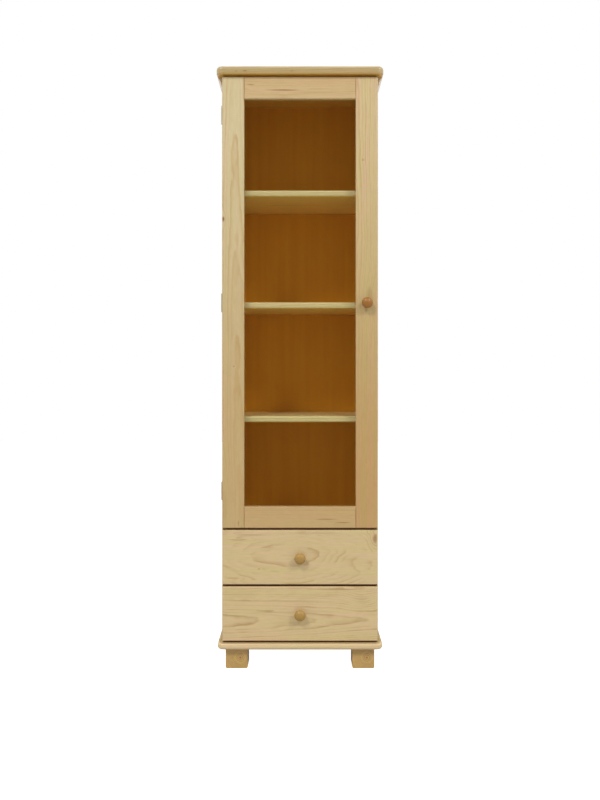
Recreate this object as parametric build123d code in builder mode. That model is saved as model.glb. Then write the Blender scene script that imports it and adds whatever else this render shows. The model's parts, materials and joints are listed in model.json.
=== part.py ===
from build123d import *
import os

os.makedirs("parts", exist_ok=True)

# Tall display cabinet in solid pine: a glazed door over two drawers, on block feet.
# Millimetres, +Z up, the front faces -Y. The origin is on the floor at the middle of
# the bounding box, which runs from the knobs to the back edge.

# Carcass
overall_height = 1954
carcass_width = 510
carcass_depth = 343
panel_thickness = 18
top_thickness = 27
base_thickness = 20
top_side_overhang = 15.5
base_side_overhang = 12.5
front_overhang = 14
board_corner_radius = 18
nosing_radius = 12
nosing_arris = 4
outer_arris = 4
inner_arris = 2
back_panel_thickness = 3.2
back_rebate_width = 9
back_panel_play = 1
back_panel_recess = 1

# Feet
foot_height = 66
foot_width = 72
foot_depth = 72
foot_side_inset = 25.5
foot_front_inset = 25
foot_back_inset = 12
foot_rounding = 6

# Side mouldings under the top and over the base
top_moulding_height = 27
base_moulding_height = 31
moulding_set_back = 2
moulding_lip = 1.5
moulding_hollow = 1.6

# Fronts
front_thickness = 20
front_gap = 4
front_reveal = 2
front_rounding = 5
hinge_gap = 3
drawer_front_height = 179
stile_width = 72
rail_width = 72
frame_arris = 2.5
hinge_side_arris = 3.5
tenon_length = 30
tenon_thickness = 7
tenon_shoulder = 12

# Glazing
glass_lip = 9
glass_rebate = 8
glass_thickness = 4
glass_play = 1.5

# Shelves and the fixed board between the vitrine and the drawers
shelf_thickness = 20
shelf_setback = 9
shelf_side_play = 1
shelf_back_play = 2
shelf_rounding = 6
shelf_tops = {"upper_shelf": 1560, "middle_shelf": 1193, "lower_shelf": 820}
middle_board_thickness = 20
shelf_pin_diameter = 5
shelf_pin_in_panel = 9
shelf_pin_reach = 9
shelf_pin_inset = 45
pin_clearance = 0.1

# Butt hinges between the back of the door and the edge of the side panel
hinge_length = 60
hinge_end_distance = 120
leaf_thickness = 1.2
leaf_width = 15
barrel_radius = 2.5
pin_radius = 1
pin_fit = 0.05
pin_head_radius = 2
pin_head_height = 1.2
knuckle_gap = 0.3
hinge_screw_spacing = 36
hinge_screw_inset = 9

# Countersunk screws
hinge_screw_head_radius = 3.4
hinge_screw_shank_radius = 1.7
hinge_screw_head_depth = 1.9
hinge_screw_length = 15
foot_screw_head_radius = 5
foot_screw_shank_radius = 2.5
foot_screw_head_depth = 3
foot_screw_length = 60

# Housings: the side panels stand in the top and base boards, and carry the middle board
board_housing = 6
panel_housing = 5

# Magnetic catch, its strike plate, and the soft bumpers
catch_length = 46
catch_width = 13
catch_depth = 16
catch_rounding = 3
magnet_width = 7
magnet_length = 26
magnet_reach = 1.9
strike_thickness = 0.8
strike_length = 40
strike_width = 11
strike_corner_radius = 5
bumper_radius = 4
bumper_play = 0.3
bumper_end_distance = 45

# Turned knobs
knob_diameter = 36
knob_projection = 30
knob_foot_diameter = 21
knob_neck_diameter = 15
knob_neck_at = 7
knob_rim_at = 20
knob_rim_thickness = 2
door_knob_height = 1188
knob_screw_radius = 2
knob_screw_in_knob = 15
knob_screw_head_radius = 4
knob_screw_head_height = 2.4

# Drawer boxes
box_height = 125
box_board = 12
box_foot_clearance = 16
housing_depth = 6
bottom_thickness = 3.2
bottom_groove_rise = 8
bottom_groove_depth = 6
bottom_play = 0.5
corner_fingers = 5

# Roller runners, one pair for each drawer
runner_space = 12.5
runner_length = 300
runner_setback = 2
rail_setback = 1
sheet = 1.2
channel_height = 21
channel_flange = 9.5
rail_top_drop = 1
rail_under_side = 10
rail_top_inset = 2
front_roller_diameter = 18
roller_play = 0.3
roller_width = 5.8
roller_side_play = 0.2
roller_web_gap = 1
rail_notch_play = 1.5
axle_head_gap = 0.7
roller_end_distance = 12
axle_radius = 2
axle_fit = 0.05
axle_head_radius = 3
axle_head_height = 0.7

# Heights of the main levels
base_bottom = foot_height
base_top = base_bottom + base_thickness
top_bottom = overall_height - top_thickness
lower_front_bottom = base_top + front_gap
upper_front_bottom = lower_front_bottom + drawer_front_height + front_gap
door_bottom = upper_front_bottom + drawer_front_height + front_gap
door_top = top_bottom - front_gap
middle_board_centre = door_bottom - front_gap / 2
middle_board_bottom = middle_board_centre - middle_board_thickness / 2

# Depths, from the back edge to the knobs
total_depth = carcass_depth + hinge_gap + front_thickness + knob_projection
back_y = total_depth / 2
carcass_front = back_y - carcass_depth
door_back = carcass_front - hinge_gap
door_front = door_back - front_thickness
board_front = door_front - front_overhang
back_panel_front = back_y - back_panel_recess - back_panel_thickness

# Widths
inner_width = carcass_width - 2 * panel_thickness
front_width = carcass_width - 2 * front_reveal
sight_width = front_width - 2 * stile_width
sight_bottom = door_bottom + rail_width
sight_top = door_top - rail_width
panel_centre_x = (carcass_width - panel_thickness) / 2
box_width = inner_width - 2 * runner_space
box_length = rail_setback + runner_length

# Hinge axis, in the gap behind the door and at the outer face of the carcass
hinge_x = -carcass_width / 2
hinge_y = carcass_front - hinge_gap / 2
hinge_heights = [
    door_bottom + hinge_end_distance,
    (door_bottom + door_top) / 2,
    door_top - hinge_end_distance,
]


def block(low, high):
    """A box from its low corner to its high corner, joined to the part being built."""
    size = [h - l for l, h in zip(low, high)]
    with Locations(tuple(l + s / 2 for l, s in zip(low, size))):
        Box(*size)


def save(piece, name):
    piece.part.label = name
    export_step(piece.part, f"parts/{name}.step")


def countersunk_screws(planes, head_radius, shank_radius, head_depth, length):
    """Screws, each with its head's face on a plane and its shank against the normal."""
    with BuildPart() as screws:
        for plane in planes:
            side_view = Plane(plane.origin, x_dir=plane.x_dir, z_dir=plane.y_dir)
            with BuildSketch(side_view):
                with BuildLine():
                    Polyline(
                        (0, 0),
                        (head_radius, 0),
                        (shank_radius, head_depth),
                        (shank_radius, length),
                        (0, length),
                        close=True,
                    )
                make_face()
            revolve(axis=Axis(plane.origin, plane.z_dir))
    return screws


# Fasteners first, because the wood is bored with them
hinge_screw = (
    hinge_screw_head_radius,
    hinge_screw_shank_radius,
    hinge_screw_head_depth,
    hinge_screw_length,
)
foot_screw = (
    foot_screw_head_radius,
    foot_screw_shank_radius,
    foot_screw_head_depth,
    foot_screw_length,
)
hinge_screw_heights = [
    height + end * hinge_screw_spacing / 2 for height in hinge_heights for end in (-1, 1)
]
frame_leaf_face = carcass_front - leaf_thickness
door_leaf_face = door_back + leaf_thickness
door_hinge_screws = countersunk_screws(
    [
        Plane((hinge_x + hinge_screw_inset, door_leaf_face, z), x_dir=(1, 0, 0), z_dir=(0, 1, 0))
        for z in hinge_screw_heights
    ],
    *hinge_screw,
)
save(door_hinge_screws, "door_hinge_screws")
frame_hinge_screws = countersunk_screws(
    [
        Plane((hinge_x + hinge_screw_inset, frame_leaf_face, z), x_dir=(1, 0, 0), z_dir=(0, -1, 0))
        for z in hinge_screw_heights
    ],
    *hinge_screw,
)
save(frame_hinge_screws, "frame_hinge_screws")

foot_x = carcass_width / 2 + base_side_overhang - foot_side_inset - foot_width / 2
foot_front_y = board_front + foot_front_inset + foot_depth / 2
foot_back_y = back_y - foot_back_inset - foot_depth / 2
foot_places = {
    "front_left_foot": (-foot_x, foot_front_y),
    "front_right_foot": (foot_x, foot_front_y),
    "rear_left_foot": (-foot_x, foot_back_y),
    "rear_right_foot": (foot_x, foot_back_y),
}
foot_screws = countersunk_screws(
    [Plane((x, y, base_top), x_dir=(1, 0, 0), z_dir=(0, 0, 1)) for x, y in foot_places.values()],
    *foot_screw,
)
save(foot_screws, "foot_screws")

shelf_front = carcass_front + shelf_setback
shelf_back = back_panel_front - shelf_back_play
with BuildPart() as shelf_pins:
    pin_length = shelf_pin_in_panel + shelf_pin_reach
    pin_places = [
        (
            side * (inner_width / 2 + shelf_pin_in_panel - pin_length / 2),
            y,
            top - shelf_thickness - shelf_pin_diameter / 2 - pin_clearance,
        )
        for side in (-1, 1)
        for y in (shelf_front + shelf_pin_inset, shelf_back - shelf_pin_inset)
        for top in shelf_tops.values()
    ]
    with Locations(*pin_places):
        Cylinder(shelf_pin_diameter / 2, pin_length, rotation=(0, 90, 0))
save(shelf_pins, "shelf_pins")


# Side panels, rebated for the back panel and housed in the boards above and below
with BuildPart() as middle_board:
    half_width = inner_width / 2 + panel_housing
    block(
        (-half_width, carcass_front, middle_board_bottom),
        (half_width, back_panel_front, middle_board_bottom + middle_board_thickness),
    )
    fillet(middle_board.faces().sort_by(Axis.Y)[0].edges().filter_by(Axis.X), inner_arris)
save(middle_board, "middle_board")


def side_panel(side):
    outer = side * carcass_width / 2
    inner = side * inner_width / 2
    rebate = side * (inner_width / 2 + back_rebate_width)
    with BuildPart() as panel:
        with BuildSketch(Plane.XY.offset(base_top - board_housing)):
            with BuildLine():
                Polyline(
                    (outer, carcass_front),
                    (outer, back_y),
                    (rebate, back_y),
                    (rebate, back_panel_front),
                    (inner, back_panel_front),
                    (inner, carcass_front),
                    close=True,
                )
            make_face()
        extrude(amount=top_bottom - base_top + 2 * board_housing)
        front_edges = panel.edges().filter_by(Axis.Z).group_by(Axis.Y)[0].sort_by(Axis.X)
        inner_edge, outer_edge = front_edges if side > 0 else reversed(front_edges)
        fillet(outer_edge, outer_arris)
        fillet(inner_edge, inner_arris)
        for cutter in (middle_board, shelf_pins, frame_hinge_screws):
            add(cutter.part, mode=Mode.SUBTRACT)
    return panel


left_side_panel = side_panel(-1)
save(left_side_panel, "left_side_panel")
right_side_panel = side_panel(1)
save(right_side_panel, "right_side_panel")


# Top and base boards, with a nosed front and sides
def nosed_board(side_overhang, bottom, thickness, top_radius, bottom_radius, cutters):
    half_width = carcass_width / 2 + side_overhang
    with BuildPart() as board:
        block((-half_width, board_front, bottom), (half_width, back_y, bottom + thickness))
        fillet(board.edges().filter_by(Axis.Z).group_by(Axis.Y)[0], board_corner_radius)
        fillet(board.faces().sort_by(Axis.Z)[-1].edges().sort_by(Axis.Y)[:-1], top_radius)
        fillet(board.faces().sort_by(Axis.Z)[0].edges().sort_by(Axis.Y)[:-1], bottom_radius)
        for cutter in cutters:
            add(cutter.part, mode=Mode.SUBTRACT)
    return board


panels = (left_side_panel, right_side_panel)
top_board = nosed_board(
    top_side_overhang, top_bottom, top_thickness, nosing_radius, nosing_arris, panels
)
save(top_board, "top_board")
base_board = nosed_board(
    base_side_overhang,
    base_bottom,
    base_thickness,
    nosing_arris,
    nosing_radius,
    (*panels, foot_screws),
)
save(base_board, "base_board")

with BuildPart() as back_panel:
    half_width = inner_width / 2 + back_rebate_width - back_panel_play
    block(
        (-half_width, back_panel_front, base_top),
        (half_width, back_panel_front + back_panel_thickness, top_bottom),
    )
save(back_panel, "back_panel")

for name, top in shelf_tops.items():
    with BuildPart() as shelf:
        half_width = inner_width / 2 - shelf_side_play
        block((-half_width, shelf_front, top - shelf_thickness), (half_width, shelf_back, top))
        fillet(shelf.faces().sort_by(Axis.Y)[0].edges().filter_by(Axis.X), shelf_rounding)
    save(shelf, name)


# Hollow mouldings along the outside of the carcass, wide against their board
def side_moulding(side, board_overhang, board_level, height):
    """height is negative where the moulding hangs below its board."""
    root = side * carcass_width / 2
    wide = root + side * (board_overhang - moulding_set_back)
    thin = root + side * moulding_lip
    middle = ((wide + thin) / 2 - side * moulding_hollow, board_level + height / 2)
    with BuildPart() as moulding:
        with BuildSketch(Plane.XZ.offset(-back_y)):
            with BuildLine():
                Polyline((thin, board_level + height), (root, board_level + height))
                Polyline((root, board_level + height), (root, board_level), (wide, board_level))
                ThreePointArc((wide, board_level), middle, (thin, board_level + height))
            make_face()
        extrude(amount=carcass_depth)
    return moulding


for side, side_name in ((-1, "left"), (1, "right")):
    top_moulding = side_moulding(side, top_side_overhang, top_bottom, -top_moulding_height)
    save(top_moulding, f"top_{side_name}_moulding")
    base_moulding = side_moulding(side, base_side_overhang, base_top, base_moulding_height)
    save(base_moulding, f"base_{side_name}_moulding")

# Feet, cut from a beam that lies front to back
for name, (x, y) in foot_places.items():
    with BuildPart() as foot:
        with Locations((x, y, foot_height / 2)):
            Box(foot_width, foot_depth, foot_height)
        fillet(foot.faces().sort_by(Axis.Z)[0].edges().filter_by(Axis.Y), foot_rounding)
        fillet(foot.faces().sort_by(Axis.Z)[-1].edges().filter_by(Axis.Y), inner_arris)
        add(foot_screws.part, mode=Mode.SUBTRACT)
    save(foot, name)

# Hinges of three knuckles: two on the frame leaf, one on the door leaf
knuckle_length = (hinge_length - 2 * knuckle_gap) / 3
knuckle_step = knuckle_length + knuckle_gap


def hinge_leaves(plate_low, plate_high, knuckle_offsets, screws):
    """A leaf at each hinge height. plate_low and plate_high are the leaf's Y limits."""
    plate_start = hinge_x + barrel_radius + knuckle_gap
    with BuildPart() as leaves:
        for height in hinge_heights:
            block(
                (plate_start, plate_low, height - hinge_length / 2),
                (hinge_x + leaf_width, plate_high, height + hinge_length / 2),
            )
            for offset in knuckle_offsets:
                middle = height + offset * knuckle_step
                block(
                    (hinge_x, plate_low, middle - knuckle_length / 2),
                    (plate_start, plate_high, middle + knuckle_length / 2),
                )
                with Locations((hinge_x, hinge_y, middle)):
                    Cylinder(barrel_radius, knuckle_length)
            with Locations((hinge_x, hinge_y, height)):
                Cylinder(pin_radius + pin_fit, hinge_length, mode=Mode.SUBTRACT)
        add(screws.part, mode=Mode.SUBTRACT)
    return leaves


frame_hinge_leaves = hinge_leaves(frame_leaf_face, carcass_front, (-1, 1), frame_hinge_screws)
save(frame_hinge_leaves, "frame_hinge_leaves")
door_hinge_leaves = hinge_leaves(door_back, door_leaf_face, (0,), door_hinge_screws)
save(door_hinge_leaves, "door_hinge_leaves")

with BuildPart() as hinge_pins:
    for height in hinge_heights:
        with Locations((hinge_x, hinge_y, height)):
            Cylinder(pin_radius, hinge_length)
        with Locations((hinge_x, hinge_y, height + hinge_length / 2 + pin_head_height / 2)):
            Cylinder(pin_head_radius, pin_head_height)
save(hinge_pins, "hinge_pins")


# Turned knobs, each held from behind by a machine screw
def knob_screw(x, z):
    with BuildPart() as screw:
        with Locations((x, (door_back + door_front - knob_screw_in_knob) / 2, z)):
            Cylinder(knob_screw_radius, front_thickness + knob_screw_in_knob, rotation=(90, 0, 0))
        with Locations((x, door_back + knob_screw_head_height / 2, z)):
            Cylinder(knob_screw_head_radius, knob_screw_head_height, rotation=(90, 0, 0))
    return screw


def turned_knob(x, z, screw):
    seat = Plane((x, door_front, z), x_dir=(0, -1, 0), z_dir=(1, 0, 0))
    rim = knob_diameter / 2
    with BuildPart() as knob:
        with BuildSketch(seat):
            with BuildLine():
                Polyline((knob_projection, 0), (0, 0), (0, knob_foot_diameter / 2))
                ThreePointArc(
                    (0, knob_foot_diameter / 2),
                    (knob_neck_at, knob_neck_diameter / 2),
                    (knob_rim_at - knob_rim_thickness, rim),
                )
                Line((knob_rim_at - knob_rim_thickness, rim), (knob_rim_at, rim))
                TangentArc((knob_projection, 0), (knob_rim_at, rim), tangent=(0, 1))
            make_face()
        revolve(axis=Axis((x, door_front, z), (0, -1, 0)))
        add(screw.part, mode=Mode.SUBTRACT)
    return knob


# Door frame: rails tenoned between full-height stiles, rebated at the back for glass
with BuildPart() as glazing_pocket:
    block(
        (-sight_width / 2 - glass_rebate, door_front + glass_lip, sight_bottom - glass_rebate),
        (sight_width / 2 + glass_rebate, door_back, sight_top + glass_rebate),
    )


def frame_rail(bottom, tenon_low, tenon_high, outer_face):
    """outer_face is 0 for the bottom rail and -1 for the top rail."""
    tenon_y = (door_front + door_back - tenon_thickness) / 2
    with BuildPart() as rail:
        block(
            (-sight_width / 2, door_front, bottom),
            (sight_width / 2, door_back, bottom + rail_width),
        )
        front_edges = rail.faces().sort_by(Axis.Y)[0].edges().filter_by(Axis.X).sort_by(Axis.Z)
        fillet(front_edges[outer_face], front_rounding)
        front_edges = rail.faces().sort_by(Axis.Y)[0].edges().filter_by(Axis.X).sort_by(Axis.Z)
        fillet(front_edges[-1 - outer_face], frame_arris)
        block(
            (-sight_width / 2 - tenon_length, tenon_y, tenon_low),
            (sight_width / 2 + tenon_length, tenon_y + tenon_thickness, tenon_high),
        )
        add(glazing_pocket.part, mode=Mode.SUBTRACT)
    return rail


door_bottom_rail = frame_rail(
    door_bottom, door_bottom + tenon_shoulder, sight_bottom - tenon_shoulder, 0
)
save(door_bottom_rail, "door_bottom_rail")
door_top_rail = frame_rail(sight_top, sight_top + tenon_shoulder, door_top - tenon_shoulder, -1)
save(door_top_rail, "door_top_rail")

door_knob_x = (sight_width + stile_width) / 2
door_knob_screw = knob_screw(door_knob_x, door_knob_height)
save(door_knob_screw, "door_knob_screw")
save(turned_knob(door_knob_x, door_knob_height, door_knob_screw), "door_knob")


def frame_stile(side):
    edges_x = sorted((side * sight_width / 2, side * front_width / 2))
    with BuildPart() as stile:
        block((edges_x[0], door_front, door_bottom), (edges_x[1], door_back, door_top))
        front_edges = stile.faces().sort_by(Axis.Y)[0].edges().sort_by(Axis.X)
        fillet(front_edges[:-1] if side < 0 else front_edges[1:], front_rounding)
        front_edges = stile.faces().sort_by(Axis.Y)[0].edges().filter_by(Axis.Z).sort_by(Axis.X)
        fillet(front_edges[-1 if side < 0 else 0], frame_arris)
        if side < 0:
            back_edges = stile.faces().sort_by(Axis.Y)[-1].edges().filter_by(Axis.Z)
            fillet(back_edges.sort_by(Axis.X)[0], hinge_side_arris)
        for cutter in (glazing_pocket, door_bottom_rail, door_top_rail):
            add(cutter.part, mode=Mode.SUBTRACT)
        for cutter in (door_hinge_screws, door_knob_screw):
            add(cutter.part, mode=Mode.SUBTRACT)
    return stile


save(frame_stile(-1), "door_left_stile")
save(frame_stile(1), "door_right_stile")

glass_face = door_front + glass_lip
with BuildPart() as door_glass:
    reach = glass_rebate - glass_play
    block(
        (-sight_width / 2 - reach, glass_face, sight_bottom - reach),
        (sight_width / 2 + reach, glass_face + glass_thickness, sight_top + reach),
    )
save(door_glass, "door_glass")

# Glazing beads, mitred around the back of the glass
sight_corners = [
    (-sight_width / 2, sight_bottom),
    (sight_width / 2, sight_bottom),
    (sight_width / 2, sight_top),
    (-sight_width / 2, sight_top),
]
rebate_corners = [
    (x + glass_rebate * (1 if x > 0 else -1), z + glass_rebate * (1 if z == sight_top else -1))
    for x, z in sight_corners
]
bead_names = ["bottom_glazing_bead", "right_glazing_bead", "top_glazing_bead", "left_glazing_bead"]
for i, name in enumerate(bead_names):
    j = (i + 1) % 4
    with BuildPart() as bead:
        with BuildSketch(Plane.XZ.offset(-door_back)):
            with BuildLine():
                Polyline(
                    sight_corners[i], sight_corners[j], rebate_corners[j], rebate_corners[i], close=True
                )
            make_face()
        extrude(amount=door_back - glass_face - glass_thickness)
    save(bead, name)

# Magnetic catch on the free side, its strike plate on the door, and the bumpers
catch_height = (shelf_tops["middle_shelf"] + shelf_tops["upper_shelf"] - shelf_thickness) / 2
catch_x = (inner_width - catch_width) / 2
with BuildPart() as magnet_catch:
    block(
        (catch_x - catch_width / 2, carcass_front, catch_height - catch_length / 2),
        (catch_x + catch_width / 2, carcass_front + catch_depth, catch_height + catch_length / 2),
    )
    fillet(magnet_catch.faces().sort_by(Axis.Y)[-1].edges().filter_by(Axis.X), catch_rounding)
    block(
        (catch_x - magnet_width / 2, carcass_front - magnet_reach, catch_height - magnet_length / 2),
        (catch_x + magnet_width / 2, carcass_front, catch_height + magnet_length / 2),
    )
save(magnet_catch, "magnet_catch")

with BuildPart() as strike_plate:
    with Locations((catch_x, door_back + strike_thickness / 2, catch_height)):
        Box(strike_width, strike_thickness, strike_length)
    fillet(strike_plate.edges().filter_by(Axis.Y), strike_corner_radius)
save(strike_plate, "strike_plate")

with BuildPart() as bumpers:
    bumper_height = hinge_gap - bumper_play
    door_bumpers = [
        (panel_centre_x, z)
        for z in (door_bottom + bumper_end_distance, door_top - bumper_end_distance)
    ]
    drawer_bumpers = [
        (side * panel_centre_x, bottom + drawer_front_height / 2)
        for bottom in (lower_front_bottom, upper_front_bottom)
        for side in (-1, 1)
    ]
    bumper_y = carcass_front - bumper_height / 2
    with Locations(*[(x, bumper_y, z) for x, z in door_bumpers + drawer_bumpers]):
        Cylinder(bumper_radius, bumper_height, rotation=(90, 0, 0))
save(bumpers, "bumpers")


side_bottoms = {
    "lower": lower_front_bottom + box_foot_clearance,
    "upper": upper_front_bottom + box_foot_clearance,
}
channel_floors = {name: z - 2 * sheet - roller_play for name, z in side_bottoms.items()}
runner_front = carcass_front + runner_setback


# Roller runners. The inset of a point is its distance from the carcass's inner face.
def runner_profile(side, floor, insets_and_rises):
    return [(side * (inner_width / 2 - inset), floor + rise) for inset, rise in insets_and_rises]


front_roller_y = runner_front + roller_end_distance
rail_front = door_back + rail_setback
rear_roller_y = rail_front + runner_length - roller_end_distance
front_roller_inset = sheet + roller_web_gap
rear_roller_inset = sheet + axle_head_height + axle_head_gap
front_roller_rise = channel_height - rail_top_drop - sheet - roller_play - front_roller_diameter / 2
rear_roller_diameter = channel_height - 2 * roller_play
rail_inset = runner_space - sheet


def axle(side, y, z, root, roller_start, roller_stop):
    """An axle along X from its root, with a head past the roller. Sizes in X are insets."""
    toward_drawer = 1 if roller_stop > roller_start else -1
    head_start = roller_stop + toward_drawer * roller_side_play
    head_stop = head_start + toward_drawer * axle_head_height
    for start, stop, radius in (
        (root, head_start, axle_radius),
        (head_start, head_stop, axle_head_radius),
    ):
        middle = side * (inner_width / 2 - (start + stop) / 2)
        with Locations((middle, y, z)):
            Cylinder(radius, abs(stop - start), rotation=(0, 90, 0))


with BuildPart() as runner_channels:
    for floor in channel_floors.values():
        for side in (-1, 1):
            with BuildSketch(Plane.XZ.offset(-runner_front - runner_length)):
                with BuildLine():
                    Polyline(
                        *runner_profile(
                            side,
                            floor,
                            [
                                (0, -sheet),
                                (channel_flange, -sheet),
                                (channel_flange, 0),
                                (sheet, 0),
                                (sheet, channel_height),
                                (channel_flange, channel_height),
                                (channel_flange, channel_height + sheet),
                                (0, channel_height + sheet),
                            ],
                        ),
                        close=True,
                    )
                make_face()
            extrude(amount=runner_length)
            axle(
                side,
                front_roller_y,
                floor + front_roller_rise,
                sheet,
                front_roller_inset,
                front_roller_inset + roller_width,
            )
save(runner_channels, "runner_channels")


def drawer_rails(floor):
    rise = channel_height - rail_top_drop
    top_flange_stop = rear_roller_y - rear_roller_diameter / 2 - rail_notch_play
    bottom_rise = 2 * sheet + roller_play
    with BuildPart() as rails:
        for side in (-1, 1):
            with BuildSketch(Plane.XZ.offset(-rail_front - runner_length)):
                with BuildLine():
                    Polyline(
                        *runner_profile(
                            side,
                            floor,
                            [
                                (rail_inset, rise),
                                (rail_inset, bottom_rise - sheet),
                                (runner_space + rail_under_side, bottom_rise - sheet),
                                (runner_space + rail_under_side, bottom_rise),
                                (runner_space, bottom_rise),
                                (runner_space, rise),
                            ],
                        ),
                        close=True,
                    )
                make_face()
            extrude(amount=runner_length)
            flange_x = sorted(side * (inner_width / 2 - inset) for inset in (rail_top_inset, rail_inset))
            block(
                (flange_x[0], rail_front, floor + rise - sheet),
                (flange_x[1], top_flange_stop, floor + rise),
            )
            axle(
                side,
                rear_roller_y,
                floor + channel_height / 2,
                rail_inset,
                rear_roller_inset + roller_width,
                rear_roller_inset,
            )
    return rails


def roller_pair(y, z, diameter, inset):
    with BuildPart() as rollers:
        places = [(side * (inner_width / 2 - inset - roller_width / 2), y, z) for side in (-1, 1)]
        with Locations(*places):
            Cylinder(diameter / 2, roller_width, rotation=(0, 90, 0))
        with Locations(*places):
            Cylinder(axle_radius + axle_fit, roller_width, rotation=(0, 90, 0), mode=Mode.SUBTRACT)
    return rollers


# Drawers: an overlay front housed for the sides, a finger-jointed back, a grooved bottom
box_back = door_back + box_length
inner_box_width = box_width - 2 * box_board
groove_width = inner_box_width + 2 * bottom_groove_depth


def drawer_front(bottom, cutters):
    with BuildPart() as front:
        block(
            (-front_width / 2, door_front, bottom),
            (front_width / 2, door_back, bottom + drawer_front_height),
        )
        fillet(front.faces().sort_by(Axis.Y)[0].edges(), front_rounding)
        for cutter in cutters:
            add(cutter.part, mode=Mode.SUBTRACT)
    return front


def drawer_back(box_bottom):
    """The back stands on the bottom panel. Every second finger of each corner is its own."""
    low = box_bottom + bottom_groove_rise + bottom_thickness
    high = box_bottom + box_height
    finger = (high - low) / corner_fingers
    with BuildPart() as back:
        block(
            (-inner_box_width / 2, box_back - box_board, low),
            (inner_box_width / 2, box_back, high),
        )
        for i in range(0, corner_fingers, 2):
            block(
                (-box_width / 2, box_back - box_board, low + i * finger),
                (box_width / 2, box_back, low + (i + 1) * finger),
            )
    return back


def drawer_side(side, box_bottom, cutters):
    limits = sorted((side * box_width / 2, side * inner_box_width / 2))
    with BuildPart() as board:
        block(
            (limits[0], door_back - housing_depth, box_bottom),
            (limits[1], box_back, box_bottom + box_height),
        )
        fillet(board.faces().sort_by(Axis.Z)[-1].edges().filter_by(Axis.Y), inner_arris)
        for cutter in cutters:
            add(cutter.part, mode=Mode.SUBTRACT)
    return board


def bottom_sheet(box_bottom, play):
    """The bottom panel, or with no play the groove that takes it."""
    low = box_bottom + bottom_groove_rise
    with BuildPart() as bottom:
        block(
            (-groove_width / 2 + play, door_back - bottom_groove_depth + play, low),
            (groove_width / 2 - play, box_back, low + bottom_thickness),
        )
    return bottom


front_bottoms = {"lower": lower_front_bottom, "upper": upper_front_bottom}
for level, box_bottom in side_bottoms.items():
    floor = channel_floors[level]
    groove = bottom_sheet(box_bottom, 0)
    back = drawer_back(box_bottom)
    left = drawer_side(-1, box_bottom, (groove, back))
    right = drawer_side(1, box_bottom, (groove, back))
    knob_height = front_bottoms[level] + drawer_front_height / 2
    screw = knob_screw(0, knob_height)
    front = drawer_front(front_bottoms[level], (left, right, groove, screw))
    save(front, f"{level}_drawer_front")
    save(left, f"{level}_drawer_left_side")
    save(right, f"{level}_drawer_right_side")
    save(back, f"{level}_drawer_back")
    save(bottom_sheet(box_bottom, bottom_play), f"{level}_drawer_bottom")
    save(turned_knob(0, knob_height, screw), f"{level}_drawer_knob")
    save(screw, f"{level}_drawer_knob_screw")
    save(drawer_rails(floor), f"{level}_drawer_rails")
    front_height = floor + front_roller_rise
    front_rollers = roller_pair(front_roller_y, front_height, front_roller_diameter, front_roller_inset)
    save(front_rollers, f"{level}_front_rollers")
    rear_height = floor + channel_height / 2
    rear_rollers = roller_pair(rear_roller_y, rear_height, rear_roller_diameter, rear_roller_inset)
    save(rear_rollers, f"{level}_rear_rollers")
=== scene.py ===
import bpy
import bmesh
import json
import math
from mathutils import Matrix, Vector


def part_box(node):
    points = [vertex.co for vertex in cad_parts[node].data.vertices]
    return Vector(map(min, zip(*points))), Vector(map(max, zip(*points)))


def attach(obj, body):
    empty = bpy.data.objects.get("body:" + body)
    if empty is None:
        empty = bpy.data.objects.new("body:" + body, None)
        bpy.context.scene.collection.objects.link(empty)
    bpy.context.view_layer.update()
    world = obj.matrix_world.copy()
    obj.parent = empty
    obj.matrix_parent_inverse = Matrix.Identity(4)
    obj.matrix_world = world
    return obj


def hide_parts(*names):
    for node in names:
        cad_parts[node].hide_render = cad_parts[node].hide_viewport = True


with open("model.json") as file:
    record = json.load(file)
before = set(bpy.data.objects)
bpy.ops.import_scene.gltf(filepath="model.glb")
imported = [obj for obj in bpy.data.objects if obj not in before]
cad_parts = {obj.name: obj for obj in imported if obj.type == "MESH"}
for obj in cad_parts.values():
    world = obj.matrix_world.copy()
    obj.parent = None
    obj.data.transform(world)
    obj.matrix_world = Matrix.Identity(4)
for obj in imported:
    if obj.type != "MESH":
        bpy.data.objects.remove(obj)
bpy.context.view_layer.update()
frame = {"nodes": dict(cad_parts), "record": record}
cadNodes = frame["nodes"]
print("frame loaded:", len(cadNodes), "CAD nodes")


# Camera, matched to the photograph's frame
cameraView = {
    "imageHeight": 800,
    "focalLengthInPixels": 877.3,
    "horizonRow": 371.8,
    "eyeHeight": 0.965,
    "distanceFromFront": 2.844,
    "sensor": 36.0,
}


def makeCamera(view):
    data = bpy.data.cameras.new("photoCamera")
    data.sensor_fit = "AUTO"
    data.sensor_width = view["sensor"]
    data.lens = view["focalLengthInPixels"] * view["sensor"] / view["imageHeight"]
    data.shift_y = view["horizonRow"] / view["imageHeight"] - 0.5
    camera = bpy.data.objects.new("photoCamera", data)
    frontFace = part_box("door_left_stile")[0].y
    camera.location = (0, frontFace - view["distanceFromFront"], view["eyeHeight"])
    camera.rotation_euler = (math.radians(90), 0, 0)
    bpy.context.scene.collection.objects.link(camera)
    bpy.context.scene.camera = camera


makeCamera(cameraView)
print("camera ready")


# Small helpers that build node trees
def addNode(tree, kind, **settings):
    node = tree.nodes.new(kind)
    for name, value in settings.items():
        setattr(node, name, value)
    return node


def feed(tree, socket, value):
    if isinstance(value, bpy.types.NodeSocket):
        tree.links.new(value, socket)
    else:
        socket.default_value = value


def calc(tree, operation, *values, clamp=False):
    node = addNode(tree, "ShaderNodeMath", operation=operation, use_clamp=clamp)
    for socket, value in zip(node.inputs, values):
        feed(tree, socket, value)
    return node.outputs[0]


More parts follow.
